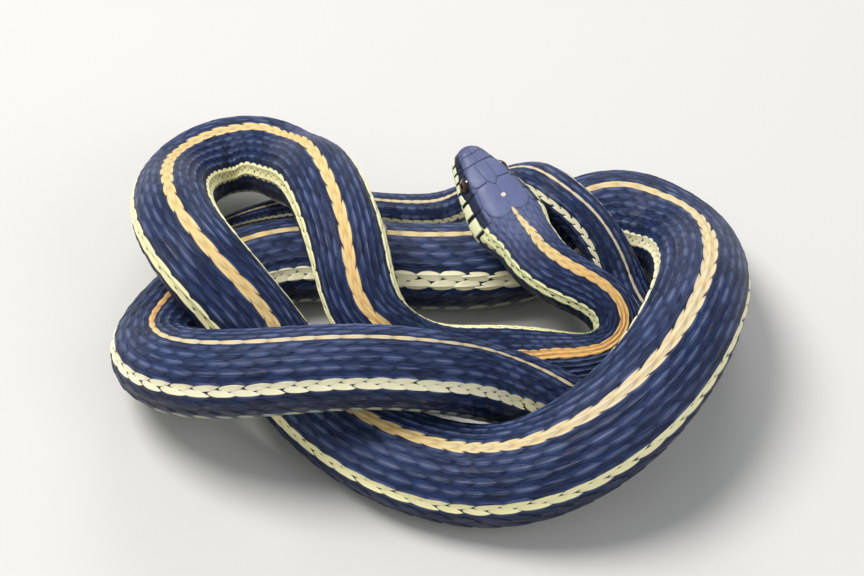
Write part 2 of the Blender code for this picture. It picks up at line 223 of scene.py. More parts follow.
class Body:
    """The surface of the solids, and everything laid on it, in millimetres.

    A place is a distance from the nape, less than zero on the head, and an angle from the middle
    of the back, more than zero on the left side of the animal.
    """

    def __init__(self):
        curve = spline_through(ROUTE)
        s = np.concatenate([[0.0], np.cumsum(np.linalg.norm(np.diff(curve, axis=0), axis=1))])
        self.s = s
        self.length = s[-1]
        self.radius = eased(GIRTH, s, SMOOTH_LENGTH)
        self.wide = 1.0 + eased(WIDENING, s, SMOOTH_LENGTH)
        lift = np.maximum(BELLY * self.radius / self.wide - curve[:, 2], 0.0)
        window = np.hanning(int(EASE_LENGTH / self.length * SPLINE_SAMPLES) * 2 + 1)
        curve[:, 2] += np.maximum(np.convolve(lift, window / window.sum(), mode="same"), 0.0)
        curve[:, 0] += CENTRE_SHIFT[0]
        curve[:, 1] += CENTRE_SHIFT[1]
        self.centre = curve
        ahead = np.gradient(curve, s, axis=0)
        ahead /= np.linalg.norm(ahead, axis=1)[:, None]
        up = np.array([0.0, 0.0, 1.0]) - ahead * ahead[:, 2:3]
        up /= np.linalg.norm(up, axis=1)[:, None]
        side = np.cross(ahead, up)
        turn = np.radians(eased(ROLL, s, SMOOTH_LENGTH))[:, None]
        self.back = up * np.cos(turn) + side * np.sin(turn)
        self.left = side * np.cos(turn) - up * np.sin(turn)
        forward = -ahead[0]
        crown = self.back[0]
        self.head_axes = np.array([np.cross(forward, crown), forward, crown])
        steps = np.arange(-12.0, self.length, 0.2)
        self.row_grid = steps
        self.row_count = np.concatenate([[0.0], np.cumsum(0.2 / self.pitch(steps[:-1] + 0.1))])

    def at(self, values, s):
        if values.ndim == 1:
            return np.interp(s, self.s, values)
        return np.stack([np.interp(s, self.s, values[:, i]) for i in range(3)], axis=-1)

    def girth(self, s):
        return np.interp(s, self.s, self.radius)

    def pitch(self, s):
        """The length of one row of scales."""
        nape = 1.0 - 0.34 * np.exp(-((np.asarray(s) + 7.0) / 15.0) ** 2)
        return (0.62 + 0.408 * self.girth(s)) * nape

    def row_place(self, row):
        """The distance at which a numbered row starts."""
        return np.interp(row, self.row_count, self.row_grid)

    def coat(self, s):
        place, value = zip(*COAT_DEPTH)
        return np.interp(s, place, value)

    def trunk_point(self, s, angle, sunk):
        """A point of the body, sunk below the surface of the solids."""
        radius = self.girth(s) - sunk
        wide = np.interp(s, self.s, self.wide)
        flat = BELLY * self.girth(s) / wide - sunk
        turn = np.radians(angle)
        out = radius * wide * np.sin(turn)
        high = np.maximum(radius / wide * np.cos(turn), -flat)
        point = self.at(self.centre, s) + self.at(self.left, s) * out[:, None]
        point += self.at(self.back, s) * high[:, None]
        point[:, 2] = np.maximum(point[:, 2], sunk * 0.5)
        return point

    def head_section(self, u, angle):
        """The head's outline at u, on one side: how far out and how high."""
        close = nose_close(u)
        width = head_table(HALF_WIDTH, u) * close
        mouth = head_table(MOUTH, u)
        tip = np.minimum(1.0, close * 4.0)
        crown = mouth + (head_table(CROWN, u) - mouth) * (0.35 + 0.65 * close) * tip
        chin = mouth - (head_table(CHIN, u) + mouth) * (0.3 + 0.7 * close) * tip
        gape = np.clip((u - MOUTH_CORNER) / 0.05, 0.0, 1.0) * np.minimum(1.0, close * 2.0)
        t = np.clip(angle, 0.0, 90.0) / 90.0
        brow = BROW_RISE * np.exp(-((u - 0.7) / 0.09) ** 2 - ((t - 0.52) / 0.14) ** 2)
        out = width * head_table(FLANK, t) + brow
        high = mouth + (crown - mouth) * head_table(ROOF, t) + 0.5 * brow
        lip = np.clip((angle - LIP_ANGLE) / (JAW_ANGLE - LIP_ANGLE), 0.0, 1.0)
        between = (angle > LIP_ANGLE) & (angle < JAW_ANGLE)
        out = np.where(between, width - MOUTH_DEPTH * gape * np.sin(np.pi * lip) * close, out)
        high = np.where(between, mouth - MOUTH_GAPE * lip, high)
        jaw = np.radians(90.0) * np.clip((angle - JAW_ANGLE) / (180.0 - JAW_ANGLE), 0.0, 1.0)
        under = angle >= JAW_ANGLE
        low = mouth - MOUTH_GAPE
        out = np.where(under, width * 0.985 * np.maximum(np.cos(jaw), 0.0) ** 0.8, out)
        high = np.where(under, low + (chin - low) * np.sin(jaw) ** 0.9, high)
        turn = np.radians(angle)
        round_out = NAPE_RADIUS * np.sin(turn)
        round_high = np.maximum(NAPE_RADIUS * np.cos(turn), -BELLY * NAPE_RADIUS)
        share = smooth(u / 0.22)
        return round_out + (out - round_out) * share, round_high + (high - round_high) * share

    def head_raw(self, u, angle):
        out, high = self.head_section(u, np.abs(angle))
        out = -np.sign(angle) * out
        local = np.stack([out, u * HEAD_LENGTH, high], axis=-1)
        return self.centre[0] + local @ self.head_axes

    def head_point(self, u, angle, sunk):
        """A point of the head, sunk along the surface's own normal."""
        u = np.clip(u, 0.0, 0.9995)
        reach = np.minimum(0.006, (1.0 - u) * 0.4)
        near, far = np.maximum(u - reach, 0.0), np.minimum(u + reach, 0.9999)
        along = self.head_raw(far, angle) - self.head_raw(near, angle)
        around = self.head_raw(u, angle + 1.6) - self.head_raw(u, angle - 1.6)
        normal = np.cross(along, around)
        size = np.linalg.norm(normal, axis=1)[:, None]
        normal = np.where(size > 1e-9, normal / np.maximum(size, 1e-9), self.head_axes[1])
        heart = self.centre[0] + np.array([0.0, SNOUT_HEART * HEAD_LENGTH, -0.3]) @ self.head_axes
        out = self.head_raw(u, angle) - heart
        share = smooth((u - NOSE_START) / 0.06)[:, None]
        normal = normal * (1.0 - share) + out / np.linalg.norm(out, axis=1)[:, None] * share
        normal /= np.linalg.norm(normal, axis=1)[:, None]
        return self.head_raw(u, angle) - normal * sunk[:, None]

    def point(self, s, angle, above=0.0):
        """Points in millimetres, at a height above the skin."""
        s, angle, above = (np.asarray(a, float).ravel() for a in np.broadcast_arrays(s, angle, above))
        sunk = self.coat(s) - above + CLEARANCE
        points = np.zeros((len(s), 3))
        head = s < 0.0
        if head.any():
            points[head] = self.head_point(-s[head] / HEAD_LENGTH, angle[head], sunk[head])
        if (~head).any():
            points[~head] = self.trunk_point(s[~head], angle[~head], sunk[~head])
        return points

    def beside_head(self, place, sign):
        """An eye's or nostril's centre, from its share of the head, its distance out and its height."""
        u, out, high = place
        local = np.array([sign * out, u * HEAD_LENGTH, high])
        return self.centre[0] + local @ self.head_axes


def row_edges(s):
    """The angles of the edges between rows, for an array of distances."""
    s = np.asarray(s, float)
    widths = []
    for row in range(SIDE_ROWS + 1):
        width = np.full(s.shape, BACK_ROW_WIDTH + ROW_GROWTH * row)
        if row == 0:
            width = width / 2.0
        if row in ROW_END:
            width = width * (1.0 - smooth((s - ROW_END[row]) / ROW_FADE + 0.5))
        widths.append(width)
    edges = np.cumsum(widths, axis=0)
    return edges / edges[-1] * VENTRAL_EDGE


def row_number(s, angle):
    """Which row of scales an angle falls in, as a number that grows smoothly round the body."""
    edges = row_edges(s)
    edges = np.concatenate([np.zeros((1,) + edges.shape[1:]), edges])
    rows = np.concatenate([[0.0], np.arange(SIDE_ROWS + 1) + 0.5])
    size = np.abs(angle)
    number = np.zeros(size.shape)
    for i in range(SIDE_ROWS + 1):
        share = np.clip((size - edges[i]) / np.maximum(edges[i + 1] - edges[i], 1e-6), 0.0, 1.0)
        number += share * (rows[i + 1] - rows[i])
    number += np.clip((size - VENTRAL_EDGE) / (180.0 - VENTRAL_EDGE), 0.0, 1.0) * 3.0
    return number * np.sign(angle)


def strip_place(s, angle, first=None):
    """Where a place of the body lies on the unrolled skin, folded into strips.

    The strip is chosen by the distance first, or by s itself.
    """
    along = np.asarray(s, float) - MAP_START
    chosen = along if first is None else np.asarray(first, float) - MAP_START
    strip = np.clip(np.floor(chosen / STRIP_LENGTH), 0, STRIPS - 1)
    across = (np.asarray(angle, float) / 360.0 + 0.5) * 0.94 + 0.02
    return (along - strip * STRIP_LENGTH) / STRIP_LENGTH * 0.97 + 0.01, (strip + across) / STRIPS


def corners(mesh):
    """The vertex at each corner of each face."""
    corner = np.zeros(len(mesh.loops), dtype=np.int32)
    mesh.loops.foreach_get("vertex_index", corner)
    return corner


def add_uv(mesh, name, place):
    """A UV map from one pair of numbers for each vertex."""
    layer = mesh.uv_layers.new(name=name)
    layer.data.foreach_set("uv", np.asarray(place, np.float32)[corners(mesh)].ravel())


def add_corner_map(mesh, s, angle):
    """The baked map of the skin, face by face, so that no face runs across a fold."""
    corner = corners(mesh)
    start = np.zeros(len(mesh.polygons), dtype=np.int32)
    mesh.polygons.foreach_get("loop_start", start)
    sizes = np.diff(np.append(start, len(corner)))
    s, angle = s[corner], angle[corner]
    first = np.repeat(np.minimum.reduceat(s, start), sizes)
    widest = np.repeat(np.maximum.reduceat(angle, start), sizes)
    angle = np.where(widest - angle > 180.0, angle + 360.0, angle)
    layer = mesh.uv_layers.new(name="OFBake")
    place = np.stack(strip_place(s, angle, first), axis=-1)
    layer.data.foreach_set("uv", place.astype(np.float32).ravel())


def add_number(mesh, name, values):
    """A named number for each vertex."""
    attribute = mesh.attributes.new(name, "FLOAT", "POINT")
    attribute.data.foreach_set("value", np.asarray(values, np.float32))


def mesh_piece(name, points, faces, material, sharp=None):
    """An object from points in millimetres, smooth but for edges sharper than an angle."""
    mesh = bpy.data.meshes.new(name)
    mesh.from_pydata((np.asarray(points) * MM).tolist(), [], faces)
    mesh.update()
    mesh.polygons.foreach_set("use_smooth", np.ones(len(mesh.polygons), dtype=bool))
    if sharp is not None:
        mesh.set_sharp_from_angle(angle=math.radians(sharp))
    mesh.materials.append(material)
    piece = bpy.data.objects.new(name, mesh)
    bpy.context.scene.collection.objects.link(piece)
    return piece


def plated_piece(name, points, faces, material, sharp, maps):
    """An object from lists of plates: their points, faces and maps, with all faces turned outwards."""
    piece = mesh_piece(name, np.vstack(points), faces, material, sharp)
    bm = bmesh.new()
    bm.from_mesh(piece.data)
    bmesh.ops.recalc_face_normals(bm, faces=bm.faces)
    bm.to_mesh(piece.data)
    bm.free()
    for label, place in maps.items():
        add_uv(piece.data, label, np.vstack(place))
    return piece


# Skin

def ring_angles():
    """Angles round one ring, closer together at the lips."""
    upper = np.linspace(0.0, LIP_ANGLE, 41)
    lips = np.linspace(LIP_ANGLE, JAW_ANGLE, 7)[1:]
    lower = np.linspace(JAW_ANGLE, 180.0, 27)[1:]
    half = np.concatenate([upper, lips, lower])
    return np.concatenate([half, -half[-2:0:-1]])


def ring_distances(body):
    curl = np.sin(np.radians(np.linspace(87, 0, 18)))
    nose = -HEAD_LENGTH * (NOSE_START + (1.0 - NOSE_START) * curl)
    face = np.linspace(-HEAD_LENGTH * NOSE_START, 0.0, 112)[1:]
    trunk = np.linspace(0.0, 740.0, 250)[1:]
    tip = np.linspace(740.0, body.length, 24)[1:]
    return np.concatenate([nose, face, trunk, tip])


def sink_sockets(body, points):
    """Presses the skin in round the eyes and at the nostrils."""
    across = body.head_axes[0]
    for sign in (-1.0, 1.0):
        for place, radius, depth in ((EYE_PLACE, EYE_RADIUS * 0.86, 0.9),
                                     (NOSTRIL_PLACE, NOSTRIL_RADIUS * 1.1, 0.45)):
            away = points - body.beside_head(place, sign)
            beside = away @ across * sign > -0.6
            near = np.linalg.norm(away - np.outer(away @ across, across), axis=1)
            push = smooth((radius - near) / (radius * 0.25)) * depth * beside
            points -= np.outer(push, across) * sign
    return points


def build_skin(body, material):
    angles = ring_angles()
    places = ring_distances(body)
    count = len(angles)
    s = np.repeat(places, count)
    angle = np.tile(angles, len(places))
    points = sink_sockets(body, body.point(s, angle))
    faces = []
    for i in range(len(places) - 1):
        for k in range(count):
            a, b = i * count + k, i * count + (k + 1) % count
            faces.append((a, b, b + count, a + count))
    snout = points[:count].mean(axis=0)
    tail = points[-count:].mean(axis=0)
    hub = len(points)
    points = np.vstack([points, snout, tail])
    last = (len(places) - 1) * count
    for k in range(count):
        after = (k + 1) % count
        faces.append((hub, after, k))
        faces.append((hub + 1, last + k, last + after))
    s = np.append(s, [places[0], places[-1]])
    angle = np.append(angle, [180.0, 180.0])
    skin = mesh_piece("skin", points, faces, material)
    add_uv(skin.data, "body_place", np.stack([s, np.abs(row_number(s, angle))], axis=-1))
    add_corner_map(skin.data, s, angle)
    return skin


# Scales

def model_scale():
    """One scale, root first: a small plate drawn to a point, with a keel down its middle."""
    bpy.ops.object.select_all(action="DESELECT")
    bpy.ops.mesh.primitive_grid_add(x_subdivisions=len(SCALE_ALONG) - 1,
                                    y_subdivisions=len(SCALE_ACROSS) - 1, size=2.0)
    pattern = bpy.context.object
    bpy.ops.object.mode_set(mode="EDIT")
    bpy.ops.mesh.select_all(action="SELECT")
    bpy.ops.mesh.extrude_region_move(TRANSFORM_OT_translate={"value": (0.0, 0.0, -1.0)})
    bpy.ops.mesh.normals_make_consistent(inside=False)
    bpy.ops.object.mode_set(mode="OBJECT")
    mesh = pattern.data
    for face in mesh.polygons:
        face.select = all(mesh.vertices[i].co.z < -0.5 for i in face.vertices)
    bpy.ops.object.mode_set(mode="EDIT")
    bpy.ops.mesh.select_mode(type="FACE")
    bpy.ops.mesh.dissolve_faces()
    bpy.ops.object.mode_set(mode="OBJECT")
    mesh = pattern.data
    grid = np.array([v.co for v in mesh.vertices])
    faces = [tuple(face.vertices) for face in mesh.polygons]
    bpy.data.objects.remove(pattern)
    low = grid[:, 2] < -0.5
    i = np.rint((grid[:, 0] + 1.0) / 2.0 * (len(SCALE_ALONG) - 1)).astype(int)
    k = np.rint((grid[:, 1] + 1.0) / 2.0 * (len(SCALE_ACROSS) - 1)).astype(int)
    along = np.array(SCALE_ALONG)[i]
    across = np.array(SCALE_ACROSS)[k]
    width = np.array(SCALE_WIDTHS)[i]
    along = along - 0.05 * (np.abs(across) ** 2) * (along > 0.5)
    return along, across, width, low, faces


def scale_rows(body):
    """The places of all scales of the back and sides: row, distance, and number in the row."""
    places = []
    last = int(body.row_count[-1])
    for row in range(-SIDE_ROWS, SIDE_ROWS + 1):
        size = abs(row)
        for number in range(last):
            s = float(body.row_place(number + 0.5 * (size % 2)))
            end = ROW_END.get(size, body.length - 1.2)
            if ROW_START[size] <= s <= end:
                places.append((row, s, number))
    for row, _, first, end in THROAT_ROWS:
        for number in range(12):
            s = float(body.row_place(number + 0.5 * (row % 2)))
            if first <= s <= end:
                places += [(-row, s, number), (row, s, number)]
    return places


def build_scales(body, name, places, pattern, material):
    """Joined copies of the scale, each bent to its own place on the body."""
    along, across, width, low, faces = pattern
    rng = np.random.default_rng(7)
    count = len(along)
    row = np.array([p[0] for p in places])
    size = np.abs(row)
    root = np.array([p[1] for p in places])
    pitch = body.pitch(root)
    edges = row_edges(root)
    throat = [np.full(edges.shape[1], edge) for _, edge, _, _ in THROAT_ROWS]
    edges = np.vstack([edges] + throat)
    outer = edges[size, np.arange(len(root))]
    inner = np.where(size > 0, edges[np.maximum(size - 1, 0), np.arange(len(root))], -outer)
    middle = (outer + inner) / 2.0 * np.sign(row)
    half = (outer - inner) / 2.0 * (SCALE_HALF_WIDTH / 0.5)
    tone = rng.random(len(root))
    length = pitch * SCALE_LENGTH * (0.97 + 0.06 * rng.random(len(root)))
    s = root[:, None] + length[:, None] * along[None, :]
    s = np.minimum(s, body.length - 0.05)
    angle = middle[:, None] + half[:, None] * across[None, :] * width[None, :]
    coat = body.coat(root)[:, None]
    keel = np.where(size >= 8, 0.35, 1.0)[:, None] * KEEL_RISE * coat / 0.44
    thick = SCALE_THICKNESS * coat / 0.44
    lift = (coat - keel - thick) * along[None, :] + thick
    spine = np.exp(-(across / 0.15) ** 2)
    spine *= np.clip(along * 3.0, 0.0, 1.0) * np.clip((1.04 - along) * 6.0, 0.0, 1.0)
    top = lift + keel * spine[None, :] - 0.75 * thick * (across ** 2)[None, :]
    above = np.where(low[None, :], top - thick * 1.15, top)
    points = body.point(s, angle, above)
    bases = range(0, count * len(root), count)
    copies = [tuple(base + i for i in face) for base in bases for face in faces]
    piece = mesh_piece(name, points, copies, material, sharp=50)
    mesh = piece.data
    flat = np.tile(along, len(root))
    wide = np.tile(across * width, len(root))
    outwards = wide * np.repeat(np.where(row < 0, -1.0, 1.0), count)
    add_uv(mesh, "scale_place", np.stack([flat, outwards], -1))
    add_uv(mesh, "scale_root", np.stack([np.repeat(root, count), np.repeat(size, count)], -1))
    add_number(mesh, "tone", np.repeat(tone, count))
    u, v = strip_place(root, middle)
    u = np.repeat(u, count) + PATCH[0] * flat
    v = np.repeat(v, count) + PATCH[1] * wide / 2.0
    add_uv(mesh, "OFBake", np.stack([u, v], axis=-1))
    return piece


def plate_faces(rows, columns):
    """Faces of a closed plate: a top grid, the same grid below, and the walls between."""
    faces = []
    total = rows * columns
    for i in range(rows - 1):
        for k in range(columns - 1):
            a = i * columns + k
            faces.append((a, a + columns, a + columns + 1, a + 1))
            faces.append((total + a, total + a + 1, total + a + columns + 1, total + a + columns))
    border = list(range(columns))
    border += [i * columns + columns - 1 for i in range(1, rows)]
    border += [(rows - 1) * columns + k for k in range(columns - 2, -1, -1)]
    border += [i * columns for i in range(rows - 2, 0, -1)]
    for a, b in zip(border, border[1:] + border[:1]):
        faces.append((a, b, total + b, total + a))
    return faces


def scute_rows(body):
    """Each scute's distance, first and last angle, length in rows and number of points across."""
    rows = []
    for s in THROAT_SCUTES:
        first = np.interp(s, *zip(*THROAT_EDGE))
        rows.append((s, first, 360.0 - first, 1.5, WHOLE_COLUMNS))
    for number in range(int(body.row_count[-1])):
        s = float(body.row_place(number + 0.25))
        if s < -6.5 or s > body.length - 1.5:
            continue
        if s < VENT:
            first = np.interp(s, *zip(*THROAT_EDGE))
            rows.append((s, first, 360.0 - first, 1.35, WHOLE_COLUMNS))
        else:
            late = min(float(body.row_place(number + 0.75)), body.length - 1.2)
            side = VENTRAL_EDGE - SCUTE_TUCK
            rows.append((s, side, 180.0 + PAIR_OVERLAP, 1.45, PAIR_COLUMNS))
            rows.append((late, 180.0 - PAIR_OVERLAP, 360.0 - side, 1.45, PAIR_COLUMNS))
    return rows


def build_belly(body, material):
    """Wide scutes under the body, and pairs of them under the tail."""
    points, faces, place, roots, tones, bake = [], [], [], [], [], []
    rng = np.random.default_rng(11)
    base = 0
    for s, first, end, stretch, columns in scute_rows(body):
        across = np.linspace(0.0, 1.0, columns)
        grid_u, grid_v = (a.ravel() for a in np.meshgrid(SCUTE_ALONG, across, indexing="ij"))
        length = float(body.pitch(s)) * stretch
        edge = np.minimum(grid_v, 1.0 - grid_v)
        bow = 0.08 * np.sin(np.pi * grid_v) * grid_u
        corner = 0.3 * grid_u * np.clip(1.0 - edge / 0.12, 0.0, 1.0) ** 2
        where = np.minimum(s + length * (grid_u * 0.94 + bow - corner), body.length - 0.05)
        angle = first + (end - first) * grid_v
        coat = float(body.coat(s))
        top = 0.2 * coat + 0.4 * coat * grid_u * (0.2 + 0.8 * smooth(edge / 0.06))
        low = top - 0.16 * coat
        wrapped = (angle + 180.0) % 360.0 - 180.0
        points.append(body.point(where, wrapped, top))
        points.append(body.point(where, wrapped, low))
        for face in plate_faces(len(SCUTE_ALONG), columns):
            faces.append(tuple(base + i for i in face))
        base += 2 * len(grid_u)
        place += [np.stack([grid_u, angle], -1)] * 2
        roots.append(np.full((2 * len(grid_u), 2), s))
        tones.append(np.full(2 * len(grid_u), rng.random()))
        start = s - MAP_START
        strip = min(int(start / STRIP_LENGTH), STRIPS - 1)
        u = (start - strip * STRIP_LENGTH) / STRIP_LENGTH * 0.98 + 0.01 + 0.012 * grid_u
        v = (strip + 0.03 + 0.94 * angle / 360.0) / STRIPS
        bake += [np.stack([u, v], -1)] * 2
    piece = plated_piece("belly_scutes", points, faces, material, 50,
                         {"scale_place": place, "scale_root": roots, "OFBake": bake})
    add_number(piece.data, "tone", np.concatenate(tones))
    return piece


# Head shields

def snout_front(u, angle, below):
    """A place at the snout as seen from the front: shares of its half width and of its height."""
    close = nose_close(u)
    tip = np.minimum(1.0, close * 4.0)
    if below:
        turn = np.radians(90.0) * (angle - JAW_ANGLE) / (180.0 - JAW_ANGLE)
        return 0.985 * close * np.cos(turn) ** 0.8, (0.3 + 0.7 * close) * tip * np.sin(turn) ** 0.9
    t = angle / 90.0
    return close * head_table(FLANK, t), (0.35 + 0.65 * close) * tip * head_table(ROOF, t)


def snout_places(spots, below):
    """The places on the head, found step by step, of spots seen from the front."""
    across, up = np.abs(spots[:, 0]), np.maximum(spots[:, 1], 0.0)
    turns = np.linspace(JAW_ANGLE + 0.01, 179.9, 400) if below else np.linspace(0.0, 90.0, 400)
    shares = np.linspace(0.04, 1.0, 400)
    reach = NOSE_START + (1.0 - NOSE_START) * (1.0 - shares ** 2) ** (1.0 / 2.4)
    u_grid, turn_grid = (a.ravel() for a in np.meshgrid(reach, turns, indexing="ij"))
    x, y = snout_front(u_grid, turn_grid, below)
    nearest = [int(np.argmin((x - a) ** 2 + (y - b) ** 2)) for a, b in zip(across, up)]
    side = np.where(spots[:, 0] < 0.0, -1.0, 1.0)
    return np.stack([u_grid[nearest], turn_grid[nearest] * side], axis=-1)


def snout_outline(u, lip_angle, below, notch):
    """A plate on the front of the snout: round the edge at u, then straight along the lip."""
    turns = np.linspace(lip_angle, 179.0 if below else 1.0, 9)
    x, y = snout_front(np.full(9, u), turns, below)
    lip = [(x[0] * f, y[0] + notch * math.exp(-(f / 0.16) ** 2)) for f in (-0.5, -0.2, 0.0, 0.2, 0.5)]
    return list(zip(x, y)) + list(zip(-x[::-1], y[::-1])) + lip


def shield_outlines():
    """The outline of each head shield as places (share of the head, angle), with its kind."""
    outlines = [("rostral", snout_outline(0.966, 88.0, False, 0.09)),
                ("mental", snout_outline(0.956, 104.0, True, 0.05)),
                ("crown", [(0.8, -16), (0.8, 16), (0.66, 13), (0.61, 10), (0.56, 0), (0.61, -10),
                           (0.66, -13)])]
    pairs = [("crown", [(0.892, 0), (0.962, 0), (0.962, 38), (0.9, 40)]),
             ("crown", [(0.805, 0), (0.89, 0), (0.9, 40), (0.86, 56), (0.81, 54)]),
             ("crown", [(0.795, 17), (0.8, 42), (0.765, 47), (0.69, 49), (0.625, 46), (0.605, 38),
                        (0.612, 11), (0.662, 14)]),
             ("crown", [(0.555, 0), (0.605, 10), (0.6, 38), (0.57, 46), (0.44, 47), (0.34, 40),
                        (0.292, 24), (0.3, 7), (0.325, 0)]),
             ("side", [(0.93, 40), (0.962, 40), (0.962, 74), (0.93, 74)]),
             ("side", [(0.855, 58), (0.9, 42), (0.928, 42), (0.928, 73), (0.86, 73)]),
             ("side", [(0.81, 56), (0.853, 58), (0.856, 73), (0.808, 73)]),
             ("side", [(0.765, 49), (0.806, 53), (0.805, 74), (0.765, 79), (0.75, 66)]),
             ("side", [(0.59, 46), (0.62, 47), (0.636, 56), (0.634, 63), (0.585, 61)]),
             ("side", [(0.585, 62), (0.633, 64), (0.642, 74), (0.63, 80), (0.575, 73)]),
             ("temple", [(0.45, 48), (0.58, 47), (0.575, 71), (0.45, 69)]),
             ("temple", [(0.32, 44), (0.445, 48), (0.445, 59), (0.31, 57)]),
             ("temple", [(0.31, 58), (0.445, 60), (0.442, 68), (0.3, 67)])]
    upper = ((0.962, 75), (0.895, 74), (0.83, 74), (0.76, 80), (0.68, 84.5), (0.575, 74), (0.445, 70),
             (0.285, 68))
    for (u0, a0), (u1, a1) in zip(upper, upper[1:]):
        pairs.append(("upper_lip", [(u0, 89.2), (u0, a0), (u1, a1), (u1, 89.2)]))
    lower = (0.95, 0.885, 0.82, 0.755, 0.685, 0.61, 0.53, 0.445, 0.35, 0.26)
    for u0, u1 in zip(lower, lower[1:]):
        pairs.append(("lower_lip", [(u0, 103.2), (u1, 103.2), (u1, 122), (u0, 121)]))
    pairs.append(("chin", [(0.945, 123), (0.945, 179), (0.755, 179), (0.715, 150), (0.74, 123)]))
    pairs.append(("chin", [(0.725, 123), (0.705, 150), (0.745, 179), (0.5, 177), (0.46, 150),
                           (0.53, 124)]))
    for kind, outline in pairs:
        outlines.append((kind, outline))
        outlines.append((kind, [(u, -angle) for u, angle in outline]))
    return outlines


# The number that tells the shield material which kind of shield it colours
KINDS = {"rostral": 19, "crown": 20, "side": 21, "temple": 22, "upper_lip": 24, "lower_lip": 25,
         "mental": 25, "chin": 26}


def rounded_outline(corners, samples):
    """Evenly spaced places along a polygon, with its corners rounded."""
    loop = np.vstack([corners, corners[:1]])
    reach = np.concatenate([[0.0], np.cumsum(np.linalg.norm(np.diff(loop, axis=0), axis=1))])
    at = np.linspace(0.0, reach[-1], samples, endpoint=False)
    line = np.stack([np.interp(at, reach, loop[:, i]) for i in range(2)], axis=-1)
    for _ in range(2):
        line = 0.25 * np.roll(line, 1, axis=0) + 0.5 * line + 0.25 * np.roll(line, -1, axis=0)
    return line


def build_shields(body, material):
    """Shields of the head: thin plates with rounded edges, a seam apart."""
    sides = SHIELD_SIDES
    shares = [0.0] + [f for f, _ in SHIELD_RINGS] + [1.0]
    heights = [1.0] + [h for _, h in SHIELD_RINGS] + [-0.15]
    sizes = [1] + [sides] * (len(SHIELD_RINGS) + 1)
    share = np.repeat(shares, sizes)
    above = np.repeat(heights, sizes)
    points, faces, place, roots, heads, bake = [], [], [], [], [], []
    base = 0
    for kind, outline in shield_outlines():
        outline = np.array(outline, float)
        middle = outline.mean(axis=0)
        nose = kind in ("rostral", "mental")
        if nose:
            scale = np.array(SNOUT_SIZE)
        else:
            probe = body.point(np.full(2, -HEAD_LENGTH * middle[0]), [middle[1] - 4, middle[1] + 4])
            scale = np.array([HEAD_LENGTH, np.linalg.norm(probe[1] - probe[0]) / 8.0])
        chart = (outline - middle) * scale
        line = rounded_outline(chart, sides)
        size = np.linalg.norm(line, axis=1)[:, None]
        line = line * (1.0 - SHIELD_SEAM / np.maximum(size, SHIELD_SEAM * 2))
        spots = np.vstack([line[:n] * f for n, f in zip(sizes, shares)]) / scale + middle
        if nose:
            spots = snout_places(spots, kind == "mental")
            outline = snout_places(outline, kind == "mental")
        s = -HEAD_LENGTH * np.clip(spots[:, 0], 0.0, 0.9995)
        turn = (spots[:, 1] + 180.0) % 360.0 - 180.0
        bulge = 0.85 + 0.15 * (1.0 - share ** 2)
        points.append(body.point(s, turn, above * body.coat(s) * bulge))
        count = len(spots)
        outer = base + 1
        inner = outer + (len(SHIELD_RINGS) - 1) * sides
        under = inner + sides
        for k in range(sides):
            after = (k + 1) % sides
            for a in range(outer, inner, sides):
                b = a + sides
                faces.append((a + k, a + after, b + after, b + k))
            faces.append((inner + k, inner + after, base))
            faces.append((under + k, under + after, outer + after, outer + k))
        faces.append(tuple(range(under, under + sides)))
        low = spots.min(axis=0)
        wide = spots.max(axis=0) - low
        along = 1.0 - (spots[:, 0] - low[0]) / wide[0]
        across = (np.abs(spots[:, 1]) - np.abs(outline[:, 1]).min()) / max(wide[1], 1e-6) * 2.0 - 1.0
        place.append(np.stack([along, across], -1))
        roots.append(np.stack([s, np.full(count, KINDS[kind])], -1))
        heads.append(np.stack([s, np.abs(turn)], -1))
        bake.append(np.stack([0.02 + 0.96 * spots[:, 0], 0.5 + 0.48 * spots[:, 1] / 185.0], -1))
        base += count
    return plated_piece("head_shields", points, faces, material, 60,
                        {"scale_place": place, "scale_root": roots, "head_place": heads, "OFBake": bake})


# Eyes

def build_eye(body, sign, name, material):
    """A round eye with a slight bulge over the pupil, looking out and a little forward."""
    centre = body.beside_head(EYE_PLACE, sign)
    side, forward, crown = body.head_axes
    gaze = Vector(side * sign + forward * 0.2 + crown * 0.12).normalized()
    turn = Vector((0.0, 0.0, 1.0)).rotation_difference(gaze)
    bpy.ops.object.select_all(action="DESELECT")
    bpy.ops.mesh.primitive_uv_sphere_add(segments=48, ring_count=32, radius=EYE_RADIUS * MM,
                                         location=Vector(centre) * MM, rotation=turn.to_euler())
    eye = bpy.context.object
    eye.name = name
    bpy.ops.object.transform_apply(location=True, rotation=True, scale=True)
    mesh = eye.data
    points = np.array([v.co for v in mesh.vertices]) / MM - centre
    depth = points @ np.array(gaze)
    lean = np.degrees(np.arccos(np.clip(depth / np.linalg.norm(points, axis=1), -1.0, 1.0)))
    flat = points - np.outer(depth * (1.0 - EYE_DEPTH), gaze) + centre
    mesh.vertices.foreach_set("co", (flat * MM).ravel())
    mesh.update()
    add_number(mesh, "lean", lean)
    bpy.ops.object.shade_smooth()
    mesh.materials.append(material)
    return eye


# Materials

